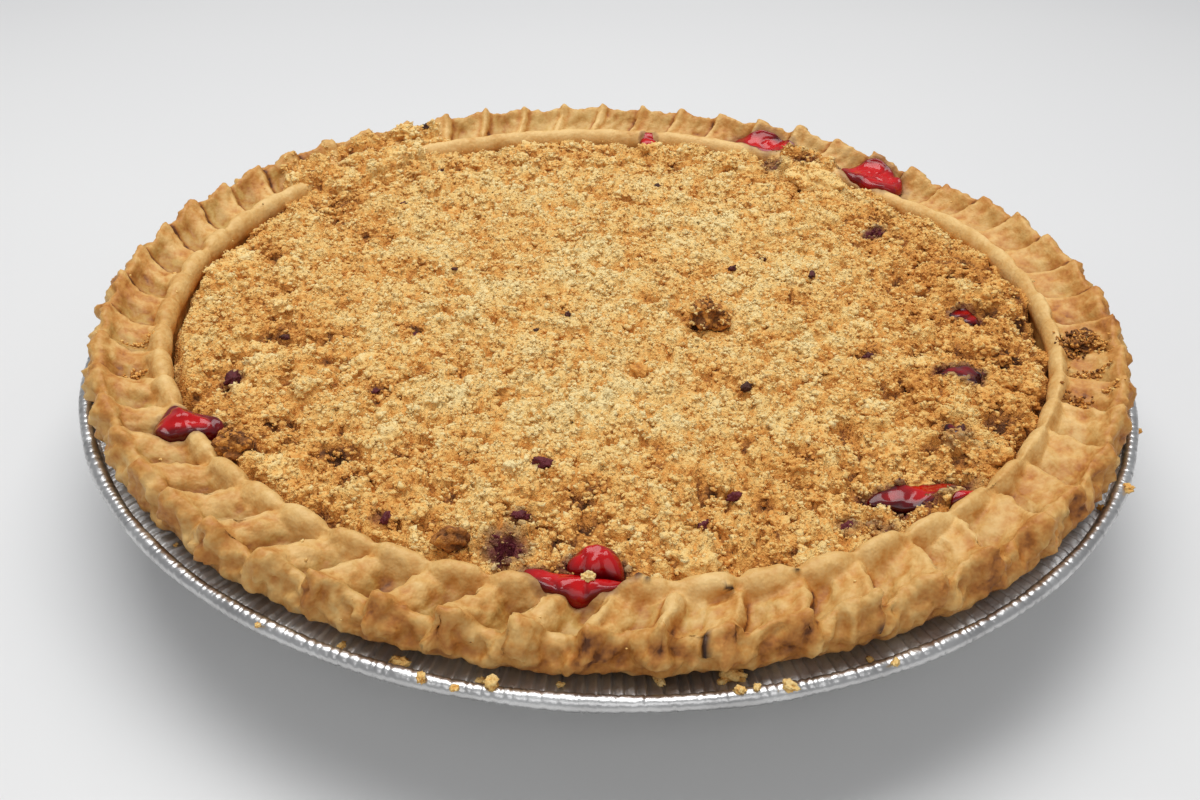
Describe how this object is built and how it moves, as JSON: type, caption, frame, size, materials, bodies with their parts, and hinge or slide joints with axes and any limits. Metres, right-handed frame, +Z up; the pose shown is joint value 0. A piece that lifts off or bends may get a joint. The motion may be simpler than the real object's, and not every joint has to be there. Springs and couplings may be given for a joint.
{
  "type": "cherry pie",
  "caption": "Round crumb-topped fruit pie with a fluted pastry rim and cherries breaking through, in its own pleated foil pan, to stand on a flat surface.",
  "frame": {"origin": "centre of the foil pan's base, on the surface that it stands on", "axes": "+Z up; -Y towards the side that has the two front cherries"},
  "size_m": [0.254, 0.254, 0.0459],
  "materials": {
    "foil": "bright pleated foil",
    "pastry": "baked pastry, golden with brown edges",
    "crumb": "sandy baked crumb",
    "toasted_crumb": "dark toasted crumb",
    "cherry": "wet glossy fruit and gel"
  },
  "bodies": {
    "root": {"foil_pan": "foil", "pie_crust": "pastry", "crumb_topping": "crumb", "cherry_left": "cherry", "cherry_front_back": "cherry", "cherry_front_edge": "cherry", "cherry_right_long": "cherry", "cherry_right_sunk": "cherry", "cherry_right_small": "cherry", "cherry_back_right": "cherry", "cherry_back": "cherry", "cherry_back_small": "cherry", "crumb_lump_middle": "toasted_crumb", "crumb_lump_left": "toasted_crumb", "crumb_lump_right": "toasted_crumb", "crumb_lump_back": "crumb"}
  },
  "joints": []
}
